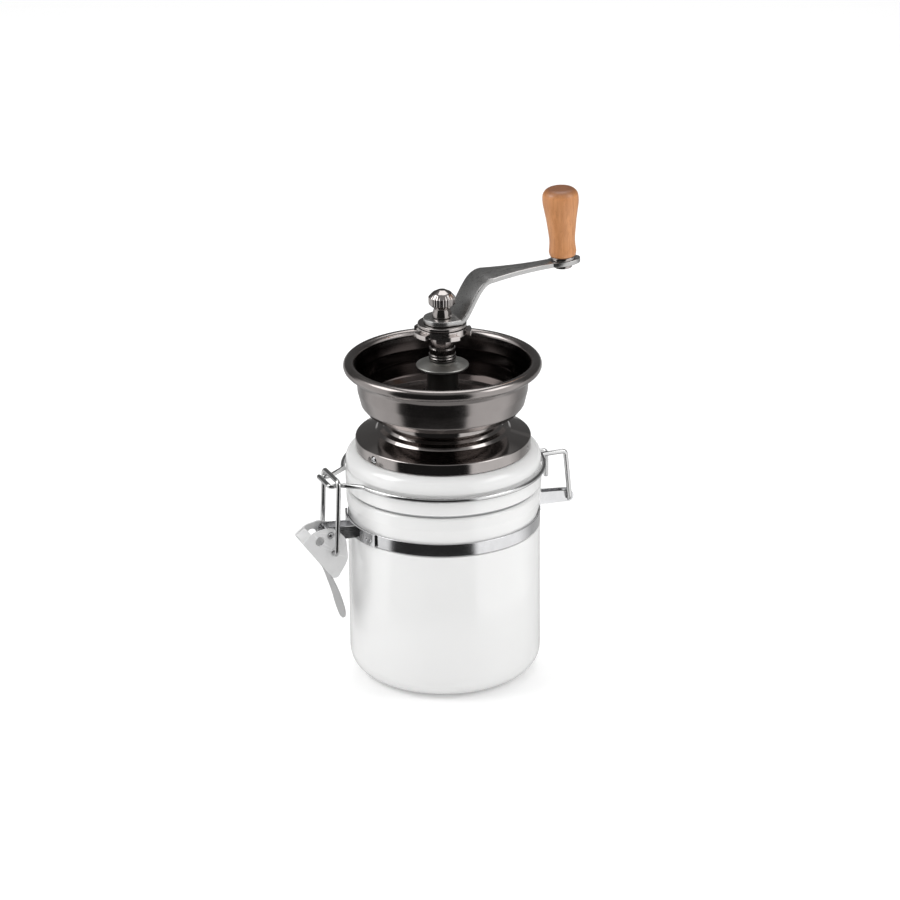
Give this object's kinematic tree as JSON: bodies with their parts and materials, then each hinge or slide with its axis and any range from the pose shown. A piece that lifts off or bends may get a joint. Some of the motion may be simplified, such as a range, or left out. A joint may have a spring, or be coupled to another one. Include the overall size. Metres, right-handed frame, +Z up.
{
  "type": "hand crank coffee grinder",
  "caption": "White glazed ceramic jar with a clip-top lid that carries a conical burr mill, a dark metal bean hopper and a hand crank with a turned wooden grip.",
  "frame": {"origin": "centre of the jar's flat base, on the surface it stands on", "axes": "+Z up along the spindle, +X towards the lid's hinge with the crank arm above it, the latch at -X"},
  "size_m": [0.1503, 0.1019, 0.2429],
  "materials": {
    "white_glaze": "glossy white glaze",
    "polished_steel": "polished stainless",
    "black_nickel": "dark nickel plate, polished and satin",
    "cast_aluminium": "as cast",
    "bearing_bronze": "turned",
    "burr_ceramic": "matt fired ceramic",
    "silicone": "translucent grey",
    "beech": "turned and oiled"
  },
  "bodies": {
    "jar": {"jar_body": "white_glaze", "neck_band": "polished_steel", "latch_bracket": "polished_steel", "latch_pin": "polished_steel", "hinge_bracket": "polished_steel"},
    "lid": {"ceramic_lid": "white_glaze", "lid_gasket": "silicone", "hinge_wire": "polished_steel", "nose_wire": "polished_steel", "mill_base": "black_nickel", "base_screw_latch": "polished_steel", "base_screw_hinge": "polished_steel", "hopper_bowl": "black_nickel", "bearing_column": "black_nickel", "bridge_screw_0": "polished_steel", "bridge_screw_1": "polished_steel", "bridge_screw_2": "polished_steel", "upper_bush": "bearing_bronze", "column_cap": "black_nickel", "shaft_sleeve": "black_nickel", "burr_housing": "cast_aluminium", "clamp_nut": "cast_aluminium", "burr_retainer": "cast_aluminium", "outer_burr": "burr_ceramic", "lower_bridge": "cast_aluminium", "lower_bush": "bearing_bronze"},
    "crank": {"spindle": "polished_steel", "spindle_nut": "polished_steel", "burr_spring": "polished_steel", "lock_washer": "black_nickel", "crank_arm": "black_nickel", "cap_nut": "black_nickel", "grip_bolt": "polished_steel"},
    "adjuster": {"grind_adjuster": "black_nickel"},
    "burr": {"inner_burr": "burr_ceramic"},
    "grip": {"wood_grip": "beech"},
    "lever": {"latch_lever": "polished_steel"},
    "loop": {"latch_loop": "polished_steel"}
  },
  "joints": [
    {"name": "lid_hinge", "type": "hinge", "parent": "jar", "child": "lid", "pos_m": [0.065, 0, 0.082], "axis": [0, 1, 0], "range_deg": [0, 95]},
    {"name": "crank_spin", "type": "hinge", "parent": "lid", "child": "crank", "pos_m": [0, 0, 0.1826], "axis": [0, 0, 1], "continuous": true},
    {"name": "grip_spin", "type": "hinge", "parent": "crank", "child": "grip", "pos_m": [0.0644, 0, 0.20609], "axis": [-0.0436, 0, 0.999], "continuous": true},
    {"name": "adjuster_turn", "type": "hinge", "parent": "crank", "child": "adjuster", "pos_m": [0, 0, 0.18], "axis": [0, 0, 1], "range_deg": [0, 288]},
    {"name": "burr_lift", "type": "slide", "parent": "crank", "child": "burr", "axis": [0, 0, 1], "range_m": [0, 0.00081]},
    {"name": "latch_lever", "type": "hinge", "parent": "jar", "child": "lever", "pos_m": [-0.0625, 0, 0.082], "axis": [0, 1, 0], "range_deg": [0, 100]},
    {"name": "latch_loop", "type": "hinge", "parent": "lever", "child": "loop", "pos_m": [-0.061, 0, 0.0725], "axis": [0, 1, 0], "range_deg": [-126, 0]}
  ],
  "couplings": [
    {"joint": "burr_lift", "follows": "adjuster_turn", "m_per_rad": 0.00015915},
    {"joint": "latch_loop", "follows": "latch_lever", "ratio": -1.25}
  ]
}
